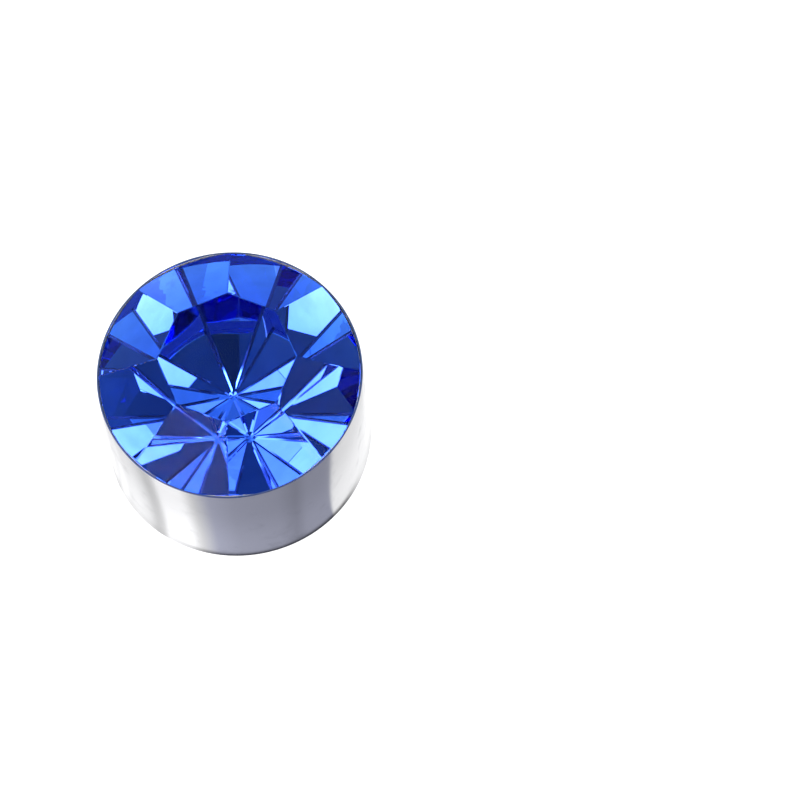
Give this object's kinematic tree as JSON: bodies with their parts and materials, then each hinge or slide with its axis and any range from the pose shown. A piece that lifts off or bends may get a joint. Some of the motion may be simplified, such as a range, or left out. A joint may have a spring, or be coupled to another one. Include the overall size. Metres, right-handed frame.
{
  "type": "magnetic stud earring",
  "caption": "Round stud earring for one ear: a blue cut-glass stone set flush in a short steel cup with a flat magnet in its base.",
  "frame": {"origin": "centre of the cup's flat base", "axes": "+Z along the stud's axis, from the magnet to the table of the stone; the picture looks at the side that faces -Y"},
  "size_m": [0.008, 0.008, 0.0061],
  "materials": {
    "steel": "satin, turned round the cup",
    "blue_glass": "polished facets with silver foil under the pavilion",
    "nickel": "bright nickel plating"
  },
  "bodies": {
    "root": {"cup": "steel", "stone": "blue_glass", "magnet": "nickel"}
  },
  "joints": []
}
